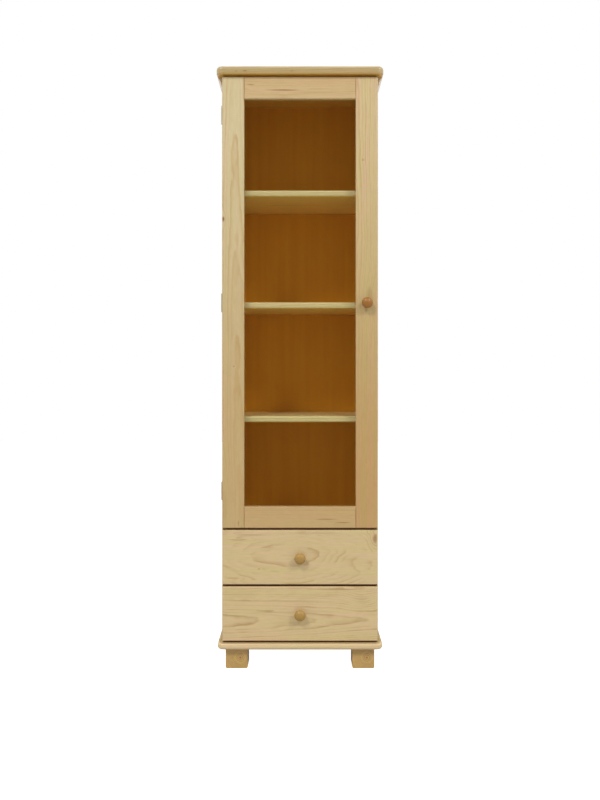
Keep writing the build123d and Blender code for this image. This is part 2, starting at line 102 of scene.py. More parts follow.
def vectorCalc(tree, operation, *values):
    node = addNode(tree, "ShaderNodeVectorMath", operation=operation)
    for socket, value in zip(node.inputs, values):
        feed(tree, socket, value)
    return node.outputs["Value" if operation == "LENGTH" else "Vector"]


def scaleVector(tree, vector, factor):
    node = addNode(tree, "ShaderNodeVectorMath", operation="SCALE")
    feed(tree, node.inputs[0], vector)
    feed(tree, node.inputs["Scale"], factor)
    return node.outputs["Vector"]


def smoothStep(tree, value, low, high):
    node = addNode(tree, "ShaderNodeMapRange", interpolation_type="SMOOTHSTEP")
    for socket, given in zip(node.inputs, (value, low, high)):
        feed(tree, socket, given)
    return node.outputs[0]


def mixColour(tree, factor, first, second):
    node = addNode(tree, "ShaderNodeMix", data_type="RGBA")
    feed(tree, node.inputs[0], factor)
    feed(tree, node.inputs[6], first)
    feed(tree, node.inputs[7], second)
    return node.outputs[2]


def mixValue(tree, factor, first, second):
    node = addNode(tree, "ShaderNodeMix", data_type="FLOAT")
    for socket, value in zip((node.inputs[0], node.inputs[2], node.inputs[3]), (factor, first, second)):
        feed(tree, socket, value)
    return node.outputs[0]


def noiseAt(tree, vector, scale, detail=2.0, roughness=0.5):
    node = addNode(tree, "ShaderNodeTexNoise")
    feed(tree, node.inputs["Vector"], vector)
    for name, value in (("Scale", scale), ("Detail", detail), ("Roughness", roughness)):
        node.inputs[name].default_value = value
    return node


def linear(red, green, blue):
    # screen values from 0 to 255, as the renderer wants them
    values = [c / 255 for c in (red, green, blue)]
    return tuple(c / 12.92 if c <= 0.04045 else ((c + 0.055) / 1.055) ** 2.4 for c in values) + (1.0,)


def newGroup(name, inputs, outputs):
    # inputs are (name, kind, default), and outputs are (name, kind)
    group = bpy.data.node_groups.new(name, "ShaderNodeTree")
    kinds = {"value": "NodeSocketFloat", "vector": "NodeSocketVector", "colour": "NodeSocketColor"}
    for label, kind, default in inputs:
        socket = group.interface.new_socket(label, in_out="INPUT", socket_type=kinds[kind])
        socket.default_value = default
    for label, kind in outputs:
        group.interface.new_socket(label, in_out="OUTPUT", socket_type=kinds[kind])
    return group, group.nodes.new("NodeGroupInput"), group.nodes.new("NodeGroupOutput")


def placeGroup(tree, group, **values):
    node = addNode(tree, "ShaderNodeGroup", node_tree=group)
    for label, value in values.items():
        feed(tree, node.inputs[label], value)
    return node


# How fine each noise of the pine grain is across, through and along the board, in cells per metre
grainNoises = {
    "drift": (5.0, 5.0, 1.3),
    "ripple": (30, 30, 9),
    "uneven": (60, 60, 4),
    "patches": (26, 26, 11),
    "fibre": (900, 900, 11),
    "dash": (620, 620, 26),
    "tone": (14, 14, 2.2),
    "feather": (160, 160, 34),
    "hue": (75, 75, 2.6),
}

# How strongly the noises show in the rings and in the colour
grainAmounts = {
    "ripple": 0.0048,
    "uneven": 0.5,
    "toneInLate": 0.30,
    "dashInLate": 0.16,
    "fibreInShade": 0.26,
    "toneInShade": 0.12,
    "featherInShade": 0.16,
    "cast": (0.16, -0.10, 0.34),
}

# The dark late wood of a ring: its rise, where it breaks off and how the years differ
ringShape = {
    "rise": 2.6,
    "fall": (0.84, 1.0),
    "yearSpread": 0.75,
    "yearLeast": 0.35,
    "gain": 1.7,
    "absent": (0.42, 0.60),
    "dash": (0.70, 0.80),
}


def centredNoise(group, vector, detail, roughness):
    noise = noiseAt(group, vector, 1.0, detail, roughness)
    return calc(group, "SUBTRACT", noise.outputs[0], 0.5)


# Moves a place aside by a noise that has its middle at zero
def nudge(group, place, noisePlace, detail, roughness, reach):
    noise = noiseAt(group, noisePlace, 1.0, detail, roughness).outputs["Color"]
    noise = vectorCalc(group, "SUBTRACT", noise, (0.5, 0.5, 0.5))
    return vectorCalc(group, "ADD", place, scaleVector(group, noise, reach))


# Counts the rings from a pith that runs along the group's own Z and may bow
def ringCount(group, local, given):
    flat = addNode(group, "ShaderNodeSeparateXYZ")
    feed(group, flat.inputs[0], local)
    along = calc(group, "MULTIPLY", flat.outputs["Z"], flat.outputs["Z"])
    depth = calc(group, "MULTIPLY_ADD", along, given.outputs["Bow"], flat.outputs["Y"])
    square = calc(group, "MULTIPLY_ADD", depth, depth, calc(group, "POWER", flat.outputs["X"], 2.0))
    radius = calc(group, "SQRT", square)
    uneven = vectorCalc(group, "MULTIPLY", given.outputs["Vector"], grainNoises["uneven"])
    uneven = calc(group, "MULTIPLY", centredNoise(group, uneven, 1.0, 0.5), grainAmounts["uneven"])
    ring = calc(group, "DIVIDE", radius, given.outputs["Spacing"])
    return calc(group, "ADD", calc(group, "ADD", ring, given.outputs["Shift"]), uneven)


# How much late wood shows at a place, from none at 0 to all at 1
def lateWood(group, ring, given):
    within = calc(group, "FRACT", ring)
    rise = calc(group, "POWER", within, ringShape["rise"])
    fall = calc(group, "SUBTRACT", 1.0, smoothStep(group, within, *ringShape["fall"]))
    yearly = addNode(group, "ShaderNodeTexWhiteNoise", noise_dimensions="1D")
    feed(group, yearly.inputs["W"], calc(group, "FLOOR", ring))
    strength = calc(group, "MULTIPLY_ADD", yearly.outputs[0], ringShape["yearSpread"], ringShape["yearLeast"])
    late = calc(group, "MULTIPLY", calc(group, "MULTIPLY", rise, fall), strength)
    late = calc(group, "MULTIPLY", late, ringShape["gain"], clamp=True)
    patches = vectorCalc(group, "MULTIPLY", given.outputs["Vector"], grainNoises["patches"])
    patches = noiseAt(group, patches, 1.0, 2.0, 0.6)
    absent = calc(group, "SUBTRACT", 1.0, smoothStep(group, patches.outputs[0], *ringShape["absent"]))
    kept = calc(group, "SUBTRACT", 1.0, calc(group, "MULTIPLY", absent, given.outputs["Broken"]))
    return calc(group, "MULTIPLY", late, kept)


# Pine: rings round a pith, with fibres, resin dashes and slow changes of tone and hue
def makePineGroup():
    group, given, result = newGroup(
        "pineGrain",
        [
            ("Vector", "vector", (0, 0, 0)),
            ("Spacing", "value", 0.0035),
            ("Wander", "value", 0.012),
            ("Contrast", "value", 0.6),
            ("Shift", "value", 0.0),
            ("Bow", "value", 0.0),
            ("Tint", "value", 0.5),
            ("Broken", "value", 0.3),
            ("Early", "colour", (0.7, 0.6, 0.4, 1)),
            ("Late", "colour", (0.5, 0.3, 0.1, 1)),
        ],
        [("Colour", "colour"), ("Rings", "value"), ("Fibre", "value")],
    )
    local = given.outputs["Vector"]
    slow = vectorCalc(group, "MULTIPLY", local, grainNoises["drift"])
    local = nudge(group, local, slow, 2.0, 0.45, given.outputs["Wander"])
    quick = vectorCalc(group, "MULTIPLY", local, grainNoises["ripple"])
    local = nudge(group, local, quick, 2.0, 0.55, grainAmounts["ripple"])
    late = lateWood(group, ringCount(group, local, given), given)
    fibre = centredNoise(group, vectorCalc(group, "MULTIPLY", local, grainNoises["fibre"]), 2.0, 0.6)
    dash = noiseAt(group, vectorCalc(group, "MULTIPLY", local, grainNoises["dash"]), 1.0, 1.0, 0.5)
    dash = smoothStep(group, dash.outputs[0], *ringShape["dash"])
    tone = centredNoise(group, vectorCalc(group, "MULTIPLY", local, grainNoises["tone"]), 3.0, 0.6)
    feather = centredNoise(group, vectorCalc(group, "MULTIPLY", local, grainNoises["feather"]), 3.0, 0.65)
    hue = centredNoise(group, vectorCalc(group, "MULTIPLY", local, grainNoises["hue"]), 2.0, 0.55)
    hue = calc(group, "MULTIPLY", hue, given.outputs["Tint"])
    amount = calc(group, "MULTIPLY", late, given.outputs["Contrast"])
    amount = calc(group, "MULTIPLY_ADD", tone, grainAmounts["toneInLate"], amount)
    amount = calc(group, "MULTIPLY_ADD", dash, grainAmounts["dashInLate"], amount, clamp=True)
    colour = mixColour(group, amount, given.outputs["Early"], given.outputs["Late"])
    shade = calc(group, "MULTIPLY_ADD", fibre, grainAmounts["fibreInShade"], 1.0)
    shade = calc(group, "MULTIPLY_ADD", tone, grainAmounts["toneInShade"], shade)
    shade = calc(group, "MULTIPLY_ADD", feather, grainAmounts["featherInShade"], shade)
    cast = addNode(group, "ShaderNodeCombineXYZ")
    for socket, share in zip(cast.inputs, grainAmounts["cast"]):
        feed(group, socket, calc(group, "MULTIPLY_ADD", hue, share, shade))
    feed(group, result.inputs["Colour"], vectorCalc(group, "MULTIPLY", colour, cast.outputs[0]))
    feed(group, result.inputs["Rings"], late)
    feed(group, result.inputs["Fibre"], fibre)
    return group


# A knot: bends the rings round itself and darkens at its core. Distances are shares of its size
knotShape = {
    "roughness": (1.5, 0, 1.5),
    "roughReach": 0.35,
    "falloff": 0.35,
    "core": (0.25, 1.0),
}


def makeKnotGroup():
    group, given, result = newGroup(
        "pineKnot",
        [
            ("Vector", "vector", (0, 0, 0)),
            ("Place", "vector", (0, 0, 0)),
            ("Size", "vector", (0.01, 1, 0.01)),
            ("Bend", "value", 3.0),
            ("Core", "value", 0.4),
        ],
        [("Shift", "value"), ("Mask", "value")],
    )
    away = vectorCalc(group, "SUBTRACT", given.outputs["Vector"], given.outputs["Place"])
    away = vectorCalc(group, "DIVIDE", away, given.outputs["Size"])
    rough = centredNoise(group, vectorCalc(group, "MULTIPLY", away, knotShape["roughness"]), 2.0, 0.5)
    distance = calc(group, "MULTIPLY_ADD", rough, knotShape["roughReach"], vectorCalc(group, "LENGTH", away))
    spread = calc(group, "MULTIPLY", calc(group, "MULTIPLY", distance, distance), -knotShape["falloff"])
    bend = calc(group, "MULTIPLY", calc(group, "EXPONENT", spread), given.outputs["Bend"])
    feed(group, result.inputs["Shift"], bend)
    core = calc(group, "SUBTRACT", 1.0, smoothStep(group, distance, *knotShape["core"]))
    feed(group, result.inputs["Mask"], calc(group, "MULTIPLY", core, given.outputs["Core"], clamp=True))
    return group


# Glued-up boards: each strip across the width has its own pith and its own tone
stripShape = {
    "pithReach": (0.08, 0.07, 3.0),
    "jointWidth": (0.0002, 0.0009),
}


def makeStripGroup():
    group, given, result = newGroup(
        "gluedStrips",
        [("Vector", "vector", (0, 0, 0)), ("Width", "value", 0.1), ("Seed", "value", 0.0)],
        [("Vector", "vector"), ("Tone", "value"), ("Joint", "value")],
    )
    split = addNode(group, "ShaderNodeSeparateXYZ")
    feed(group, split.inputs[0], given.outputs["Vector"])
    steps = calc(group, "DIVIDE", split.outputs[0], given.outputs["Width"])
    index = calc(group, "FLOOR", steps)
    centred = calc(group, "SUBTRACT", calc(group, "SUBTRACT", steps, index), 0.5)
    draw = addNode(group, "ShaderNodeTexWhiteNoise", noise_dimensions="1D")
    feed(group, draw.inputs["W"], calc(group, "ADD", index, given.outputs["Seed"]))
    random = vectorCalc(group, "SUBTRACT", draw.outputs["Color"], (0.5, 0.5, 0.5))
    offset = vectorCalc(group, "MULTIPLY", random, stripShape["pithReach"])
    base = addNode(group, "ShaderNodeCombineXYZ")
    feed(group, base.inputs[0], calc(group, "MULTIPLY", centred, given.outputs["Width"]))
    feed(group, base.inputs[1], split.outputs[1])
    feed(group, base.inputs[2], split.outputs[2])
    feed(group, result.inputs["Vector"], vectorCalc(group, "ADD", base.outputs[0], offset))
    feed(group, result.inputs["Tone"], calc(group, "SUBTRACT", draw.outputs[0], 0.5))
    edge = calc(group, "SUBTRACT", 0.5, calc(group, "ABSOLUTE", centred))
    edge = calc(group, "MULTIPLY", edge, given.outputs["Width"])
    joint = calc(group, "SUBTRACT", 1.0, smoothStep(group, edge, *stripShape["jointWidth"]))
    feed(group, result.inputs["Joint"], joint)
    return group


pineGroup = makePineGroup()
knotGroup = makeKnotGroup()
stripGroup = makeStripGroup()

# Which of the object's axes runs across a board, through it and along its grain
boardPlans = {
    "upright": "xyz",
    "rail": "zyx",
    "panel": "yxz",
    "shelf": "yzx",
    "moulding": "zxy",
    "foot": "xzy",
    "boxSide": "zxy",
    "turned": "xzy",
}

# What every pine board has unless its own entry in pineBoards says otherwise. A painted shade darkens
# the early colour towards a board's bottom; the fade reaches as far below and above the board's middle
# as the fade reach says
pineLook = {
    "early": linear(218, 194, 148),
    "late": linear(186, 148, 92),
    "knot": linear(140, 84, 38),
    # the colour of the painted shade in the gaps between the fronts and on the middle board's front
    "shadeColour": linear(106, 52, 6),
    "shadedLowEarly": None,
    "shadeFadeReach": 0.7,
    "spacing": 0.0042,
    "wander": 0.016,
    "contrast": 0.55,
    "bow": 0.0,
    "tint": 0.6,
    "broken": 0.3,
    "edgeShade": 0.0,
    "frontShade": 0.0,
    "underside": None,
    "stripTone": 0.14,
    "jointShade": 0.35,
    "roughness": 0.36,
    "fibreRoughness": 0.18,
    "shadeRoughness": 0.5,
    "coat": 0.35,
    "coatRoughness": 0.18,
    "bump": 0.05,
    "bumpDepth": 0.0006,
    "fibreRelief": 0.6,
}

# Between which parts of its normal a face comes to count as turned to a side
faceTurns = {
    "front": ("Y", -0.4, -0.9),
    "rear": ("Y", 0.3, 0.7),
    "below": ("Z", -0.4, -0.9),
    "edgeAbove": ("Z", 0.80, 0.98),
    "edgeBelow": ("Z", -0.12, -0.50),
}


def faceMask(tree, side):
    axis, low, high = faceTurns[side]
    normal = addNode(tree, "ShaderNodeSeparateXYZ")
    feed(tree, normal.inputs[0], addNode(tree, "ShaderNodeNewGeometry").outputs["True Normal"])
    return smoothStep(tree, normal.outputs[axis], low, high)


# Painted shade: the top and bottom edges of a front are darkened where the gaps between the fronts lie in
# shade
edgeShadeReach = {
    "behindFace": (0.0004, 0.0020),
    "aboveShare": 0.45,
}


def edgeMask(tree, coordinates, frontFace):
    place = addNode(tree, "ShaderNodeSeparateXYZ")
    feed(tree, place.inputs[0], coordinates)
    start, full = edgeShadeReach["behindFace"]
    behind = smoothStep(tree, place.outputs["Y"], frontFace + start, frontFace + full)
    above = calc(tree, "MULTIPLY", behind, edgeShadeReach["aboveShare"])
    above = calc(tree, "MULTIPLY", faceMask(tree, "edgeAbove"), above)
    return calc(tree, "MAXIMUM", above, faceMask(tree, "edgeBelow"))


# Painted shade: how much of the shade colour a front's edges or the middle board's front take
def paintedShadeMask(tree, look, coordinates, frontFace):
    if look["edgeShade"]:
        return calc(tree, "MULTIPLY", edgeMask(tree, coordinates, frontFace), look["edgeShade"])
    if look["frontShade"]:
        return calc(tree, "MULTIPLY", faceMask(tree, "front"), look["frontShade"])
    return 0.0


# Adds up the bends and takes the darkest core of a board's knots
def knotMarks(tree, coordinates, knots):
    shift = 0.0
    core = 0.0
    for knot in knots:
        marks = placeGroup(tree, knotGroup, Vector=coordinates, Place=knot["place"], Size=knot["size"],
                           Bend=knot["bend"], Core=knot["core"])
        shift = calc(tree, "ADD", shift, marks.outputs["Shift"])
        core = calc(tree, "MAXIMUM", core, marks.outputs["Mask"])
    return shift, core


# pith is (across, through) from the board's centre in metres, tilt is in degrees, strips is the
# width of one glued strip
def pineMaterial(name, node, plan, pith, tilt=(0, 0), strips=None, knots=(), seed=0.0, **changes):
    look = {**pineLook, **changes}
    material = bpy.data.materials.new(name)
    material.use_nodes = True
    tree = material.node_tree
    shader = tree.nodes["Principled BSDF"]
    coordinates = addNode(tree, "ShaderNodeTexCoord").outputs["Object"]
    low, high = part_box(node)
    centred = vectorCalc(tree, "SUBTRACT", coordinates, tuple((low + high) / 2))
    parts = addNode(tree, "ShaderNodeSeparateXYZ")
    feed(tree, parts.inputs[0], centred)
    ordered = addNode(tree, "ShaderNodeCombineXYZ")
    for socket, axis in zip(ordered.inputs, boardPlans[plan]):
        feed(tree, socket, parts.outputs["xyz".index(axis)])
    board = ordered.outputs[0]
    if strips:
        cells = placeGroup(tree, stripGroup, Vector=board, Width=strips, Seed=seed)
        board, stripTone, joint = cells.outputs
    lean = addNode(tree, "ShaderNodeMapping")
    feed(tree, lean.inputs["Vector"], board)
    lean.inputs["Location"].default_value = (-pith[0], -pith[1], seed)
    lean.inputs["Rotation"].default_value = (math.radians(tilt[0]), math.radians(tilt[1]), 0)
    shift, core = knotMarks(tree, coordinates, knots)
    early = look["early"]
    # Painted shade: the early colour darkens towards the board's bottom
    if look["shadedLowEarly"]:
        rise = smoothStep(tree, parts.outputs["Z"], -look["shadeFadeReach"], look["shadeFadeReach"])
        early = mixColour(tree, rise, look["shadedLowEarly"], look["early"])
    grain = placeGroup(
        tree, pineGroup, Vector=lean.outputs[0], Spacing=look["spacing"], Wander=look["wander"],
        Contrast=look["contrast"], Shift=shift, Bow=look["bow"], Tint=look["tint"],
        Broken=look["broken"], Early=early, Late=look["late"])
    colour = grain.outputs["Colour"]
    if strips:
        colour = scaleVector(tree, colour, calc(tree, "MULTIPLY_ADD", stripTone, look["stripTone"], 1.0))
        colour = mixColour(tree, calc(tree, "MULTIPLY", joint, look["jointShade"]), colour, look["late"])
    if knots:
        colour = mixColour(tree, core, colour, look["knot"])
    # Painted light: faces turned down are lifted and warmed as if lit from the floor
    if look["underside"]:
        litFromBelow = vectorCalc(tree, "MULTIPLY", colour, look["underside"])
        colour = mixColour(tree, faceMask(tree, "below"), colour, litFromBelow)
    # Painted shade by the gaps: a darker colour, more roughness and less coat
    shadeAmount = paintedShadeMask(tree, look, coordinates, low.y)
    colour = mixColour(tree, shadeAmount, colour, look["shadeColour"])
    roughness = calc(tree, "MULTIPLY_ADD", shadeAmount, look["shadeRoughness"], look["roughness"])
    roughness = calc(tree, "MULTIPLY_ADD", grain.outputs["Fibre"], look["fibreRoughness"], roughness)
    coat = calc(tree, "MULTIPLY_ADD", shadeAmount, -look["coat"], look["coat"])
    height = calc(tree, "MULTIPLY_ADD", grain.outputs["Fibre"], look["fibreRelief"], grain.outputs["Rings"])
    relief = addNode(tree, "ShaderNodeBump")
    relief.inputs["Strength"].default_value = look["bump"]
    relief.inputs["Distance"].default_value = look["bumpDepth"]
    feed(tree, relief.inputs["Height"], height)
    feed(tree, shader.inputs["Base Color"], colour)
    feed(tree, shader.inputs["Roughness"], roughness)
    feed(tree, shader.inputs["Coat Weight"], coat)
    shader.inputs["Coat Roughness"].default_value = look["coatRoughness"]
    feed(tree, shader.inputs["Normal"], relief.outputs[0])
    return material


def dress(node, material):
    mesh = cadNodes[node].data
    mesh.materials.clear()
    mesh.materials.append(material)


# The three shelves share one warmer tone
shelfTint = {"early": linear(220, 192, 136), "late": linear(184, 144, 86)}

# The faces that the marks below lie on, and how far from the stile a rail's joint line runs
markFaces = {
    "front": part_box("door_left_stile")[0].y,
    "topEdge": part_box("top_board")[0].y,
    "foot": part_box("front_left_foot")[0].y,
}
jointOffset = 0.0004


# A knot or a dark streak: its middle, how far it reaches across and up, and how it bends the rings
def mark(x, height, across, up, bend, core, face="front"):
    return dict(place=(x, markFaces[face], height), size=(across, 1, up), bend=bend, core=core)


# The dark line where a rail meets each stile
def jointLines(height):
    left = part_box("door_left_stile")[1].x + jointOffset
    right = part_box("door_right_stile")[0].x - jointOffset
    return [mark(x, height, 0.0013, 0.060, 0.0, 0.75) for x in (left, right)]


# Every pine board gets its own cut of the tree
pineBoards = {
    # The stiles' second early colour is a painted shade, darker towards their bottom
    "door_left_stile": dict(
        plan="upright", pith=(0.012, 0.060), tilt=(0.8, 0.3), seed=1.3, contrast=0.62,
        early=linear(208, 191, 149), shadedLowEarly=linear(193, 166, 115),
        knots=[
            mark(-0.249, 1.460, 0.006, 0.012, 1.8, 0.9),
            mark(-0.214, 0.983, 0.0035, 0.0025, 0.6, 0.7),
            mark(-0.252, 0.520, 0.022, 0.110, 4.5, 0.10),
            mark(-0.200, 0.474, 0.0018, 0.014, 0.3, 0.7),
        ]),
    "door_right_stile": dict(
        plan="upright", pith=(-0.045, 0.050), tilt=(0.5, -0.4), seed=4.1, contrast=0.70, tint=1.4,
        early=linear(208, 185, 140), shadedLowEarly=linear(188, 153, 97),
        knots=[
            mark(0.204, 1.652, 0.003, 0.006, 0.8, 0.6),
            mark(0.226, 1.216, 0.014, 0.034, 2.6, 0.22),
        ]),
    "door_top_rail": dict(
        plan="rail", pith=(-0.034, 0.024), tilt=(0.6, 0.5), seed=7.7, wander=0.026, contrast=0.75,
        early=linear(202, 175, 129),
        knots=[
            mark(-0.055, 1.8785, 0.075, 0.0026, 1.4, 0.85),
            mark(-0.160, 1.896, 0.018, 0.0022, 0.5, 0.60),
            mark(0.060, 1.872, 0.110, 0.0016, 0.8, 0.40),
        ] + jointLines(1.887)),
    "door_bottom_rail": dict(
        plan="rail", pith=(0.060, 0.045), tilt=(1.5, 3.0), seed=2.9, wander=0.022, contrast=0.75,
        early=linear(192, 162, 111),
        knots=[
            mark(0.085, 0.487, 0.045, 0.0024, 0.9, 0.60),
            mark(0.140, 0.476, 0.034, 0.0022, 0.9, 0.70),
        ] + jointLines(0.492)),
    "upper_drawer_front": dict(
        plan="rail", pith=(0.006, 0.24), tilt=(0.9, 0.4), seed=0.02, wander=0.020, bow=-0.30,
        contrast=0.60, spacing=0.0040, tint=1.0, broken=0.95,
        early=linear(204, 181, 133), late=linear(172, 138, 86),
        knots=[
            mark(0.243, 0.423, 0.010, 0.020, 2.5, 0.6),
            mark(0.162, 0.350, 0.045, 0.020, 2.2, 0.06),
            mark(-0.133, 0.326, 0.006, 0.003, 0.4, 0.5),
            mark(-0.150, 0.436, 0.075, 0.0022, 1.2, 0.45),
            mark(-0.205, 0.420, 0.040, 0.0020, 1.0, 0.50),
            mark(0.060, 0.442, 0.090, 0.0018, 0.8, 0.35),
            mark(-0.222, 0.296, 0.030, 0.0030, 1.4, 0.35),
        ]),
    "lower_drawer_front": dict(
        plan="rail", pith=(-0.020, 0.060), tilt=(1.2, -1.0), seed=5.4, wander=0.020,
        contrast=0.70, tint=1.0, broken=0.6,
        early=linear(206, 182, 134), late=linear(164, 130, 78),
        knots=[
            mark(0.200, 0.228, 0.030, 0.022, 2.4, 0.08),
            mark(0.120, 0.260, 0.120, 0.0022, 0.9, 0.55),
            mark(-0.060, 0.222, 0.200, 0.0020, 0.8, 0.40),
            mark(-0.060, 0.186, 0.140, 0.0018, 0.6, 0.34),
        ]),
    "left_side_panel": dict(plan="panel", pith=(0.02, 0.05), tilt=(0.7, 0.3), strips=0.098, seed=11.0),
    "right_side_panel": dict(plan="panel", pith=(-0.02, -0.05), tilt=(-0.6, 0.4), strips=0.098, seed=23.0),
    "top_board": dict(
        plan="shelf", pith=(0.01, -0.05), tilt=(0.8, 0.4), strips=0.104, seed=31.0,
        early=linear(184, 160, 108), late=linear(148, 112, 62), coat=0.9, coatRoughness=0.3,
        knots=[
            mark(-0.178, 1.936, 0.010, 0.0022, 0.2, 0.95, face="topEdge"),
            mark(-0.206, 1.935, 0.005, 0.0018, 0.2, 0.8, face="topEdge"),
            mark(-0.026, 1.936, 0.007, 0.0018, 0.2, 0.8, face="topEdge"),
        ]),
    "base_board": dict(plan="shelf", pith=(0.02, -0.06), tilt=(0.6, 0.4), strips=0.104, seed=37.0),
    "middle_board": dict(plan="shelf", pith=(0.01, -0.05), tilt=(0.8, 0.4), strips=0.1, seed=41.0),
    "lower_shelf": dict(
        plan="shelf", pith=(0.01, -0.04), tilt=(0.8, 0.4), strips=0.095, seed=43.0, **shelfTint),
    "middle_shelf": dict(
        plan="shelf", pith=(0.01, -0.05), tilt=(0.5, 0.6), strips=0.095, seed=47.0, **shelfTint),
    "upper_shelf": dict(
        plan="shelf", pith=(0.02, -0.05), tilt=(0.9, 0.2), strips=0.095, seed=53.0, **shelfTint),
}
for side, seed in (("left", 61.0), ("right", 67.0)):
    for level in ("top", "base"):
        pineBoards[f"{level}_{side}_moulding"] = dict(plan="moulding", pith=(0.02, 0.03), seed=seed)
    for end in ("front", "rear"):
        pineBoards[f"{end}_{side}_foot"] = dict(
            plan="foot", pith=(0.0115, 0.0023), seed=seed + len(end), spacing=0.0036, wander=0.004,
            early=linear(196, 162, 96), late=linear(132, 92, 42), contrast=0.95, tint=1.4)
    pineBoards[f"{side}_glazing_bead"] = dict(plan="upright", pith=(0.03, 0.03), seed=seed + 2)
for edge, seed in (("top", 71.0), ("bottom", 73.0)):
    pineBoards[f"{edge}_glazing_bead"] = dict(plan="rail", pith=(0.03, 0.03), seed=seed)
for level, seed in (("upper", 79.0), ("lower", 83.0)):
    for side in ("left", "right"):
        pineBoards[f"{level}_drawer_{side}_side"] = dict(
            plan="boxSide", pith=(0.03, 0.05), tilt=(0.8, 0.5), seed=seed + len(side))
    pineBoards[f"{level}_drawer_back"] = dict(plan="rail", pith=(0.03, 0.05), tilt=(0.9, 0.5), seed=seed + 1)

# Painted shade darkens the gaps between the fronts and the middle board's front, and painted light
# from the floor lifts the undersides
for front in ("door_left_stile", "door_right_stile", "door_bottom_rail", "upper_drawer_front",
              "lower_drawer_front"):
    pineBoards[front]["edgeShade"] = 0.97
pineBoards["middle_board"]["frontShade"] = 0.65
# Painted light: the top rail's lower edge and the undersides of the top board and shelves are lifted
pineBoards["door_top_rail"]["underside"] = (1.45, 1.45, 1.35)
pineBoards["top_board"]["underside"] = (1.62, 1.26, 0.44)
for node in ("upper_shelf", "middle_shelf", "lower_shelf"):
    pineBoards[node]["underside"] = (1.36, 1.22, 0.66)

# The pith shows as a dark spot on the front feet
for node, x in (("front_left_foot", -0.1943), ("front_right_foot", 0.2174)):
    pineBoards[node]["knots"] = [mark(x, 0.035, 0.0054, 0.0054, 1.0, 0.85, face="foot")]
for place, seed in (("door", 89.0), ("upper_drawer", 97.0), ("lower_drawer", 101.0)):
    pineBoards[f"{place}_knob"] = dict(
        plan="turned", pith=(0.024, 0.012), seed=seed, wander=0.004, spacing=0.003,
        early=linear(173, 138, 68), late=linear(132, 92, 38), roughness=0.45, coat=0.10)
pineBoards["door_knob"].update(early=linear(160, 106, 36), late=linear(118, 70, 20))
for node, board in pineBoards.items():
    dress(node, pineMaterial("pine_" + node, node, **board))
print("pine boards dressed:", len(pineBoards))


# Hardboard: brown and smooth in front, raw and paler behind
hardboardLook = {
    "brown": linear(234, 158, 36),
    "dark": linear(218, 138, 25),
    "rawBrown": linear(158, 112, 66),
    "rawShade": (0.5, 0.75),
    "streak": (70.0, 70.0, 1.6),
    "speckSize": 900.0,
    "speckAmount": 0.35,
    "speckRoughness": 0.12,
    "roughness": 0.55,
    "gloss": 0.15,
}


def hardboardMaterial(name, look):
    material = bpy.data.materials.new(name)
    material.use_nodes = True
    tree = material.node_tree
    shader = tree.nodes["Principled BSDF"]
    coordinates = addNode(tree, "ShaderNodeTexCoord").outputs["Object"]
    streak = noiseAt(tree, vectorCalc(tree, "MULTIPLY", coordinates, look["streak"]), 1.0, 3.0, 0.6)
    speck = noiseAt(tree, coordinates, look["speckSize"], 2.0, 0.6).outputs[0]
    centred = calc(tree, "SUBTRACT", speck, 0.5)
    amount = calc(tree, "MULTIPLY_ADD", centred, look["speckAmount"], streak.outputs[0], clamp=True)
    smooth = mixColour(tree, amount, look["dark"], look["brown"])
    raw = scaleVector(tree, look["rawBrown"][:3], calc(tree, "MULTIPLY_ADD", amount, *look["rawShade"]))
    feed(tree, shader.inputs["Base Color"], mixColour(tree, faceMask(tree, "rear"), smooth, raw))
    roughness = calc(tree, "MULTIPLY_ADD", speck, look["speckRoughness"], look["roughness"])
    feed(tree, shader.inputs["Roughness"], roughness)
    shader.inputs["Specular IOR Level"].default_value = look["gloss"]
    return material


# Metals, nylon, plastic and rubber share one fine variation
handledSurface = {"cloudSize": 35.0, "reliefStrength": 0.08, "reliefDepth": 0.0002}


def makeHandledGroup():
    group, given, result = newGroup(
        "handledSurface",
        [
            ("Vector", "vector", (0, 0, 0)),
            ("Colour", "colour", (0.5, 0.5, 0.5, 1)),
            ("Stretch", "vector", (400, 400, 400)),
            ("Depth", "value", 0.1),
            ("Roughness", "value", 0.4),
        ],
        [("Colour", "colour"), ("Roughness", "value"), ("Height", "value")],
    )
    lines = vectorCalc(group, "MULTIPLY", given.outputs["Vector"], given.outputs["Stretch"])
    lines = noiseAt(group, lines, 1.0, 2.0, 0.6)
    cloud = noiseAt(group, given.outputs["Vector"], handledSurface["cloudSize"], 2.0, 0.5)
    both = calc(group, "ADD", lines.outputs[0], cloud.outputs[0])
    both = calc(group, "MULTIPLY", calc(group, "SUBTRACT", both, 1.0), given.outputs["Depth"])
    colour = scaleVector(group, given.outputs["Colour"], calc(group, "ADD", both, 1.0))
    feed(group, result.inputs["Colour"], colour)
    feed(group, result.inputs["Roughness"], calc(group, "ADD", both, given.outputs["Roughness"]))
    feed(group, result.inputs["Height"], lines.outputs[0])
    return group


handledGroup = makeHandledGroup()
handledLooks = {
    "platedSteel": dict(
        colour=linear(216, 204, 172), stretch=(60, 900, 900), depth=0.12, roughness=0.42, metal=1.0),
    "paintedSteel": dict(
        colour=linear(232, 229, 218), stretch=(300, 300, 300), depth=0.06, roughness=0.38, metal=0.0),
    "mouldedNylon": dict(
        colour=linear(236, 233, 220), stretch=(500, 500, 500), depth=0.05, roughness=0.45, metal=0.0),
    "brownPlastic": dict(
        colour=linear(116, 78, 44), stretch=(800, 800, 800), depth=0.10, roughness=0.42, metal=0.0),
    "softRubber": dict(
        colour=linear(226, 222, 208), stretch=(500, 500, 500), depth=0.05, roughness=0.55, metal=0.0),
}


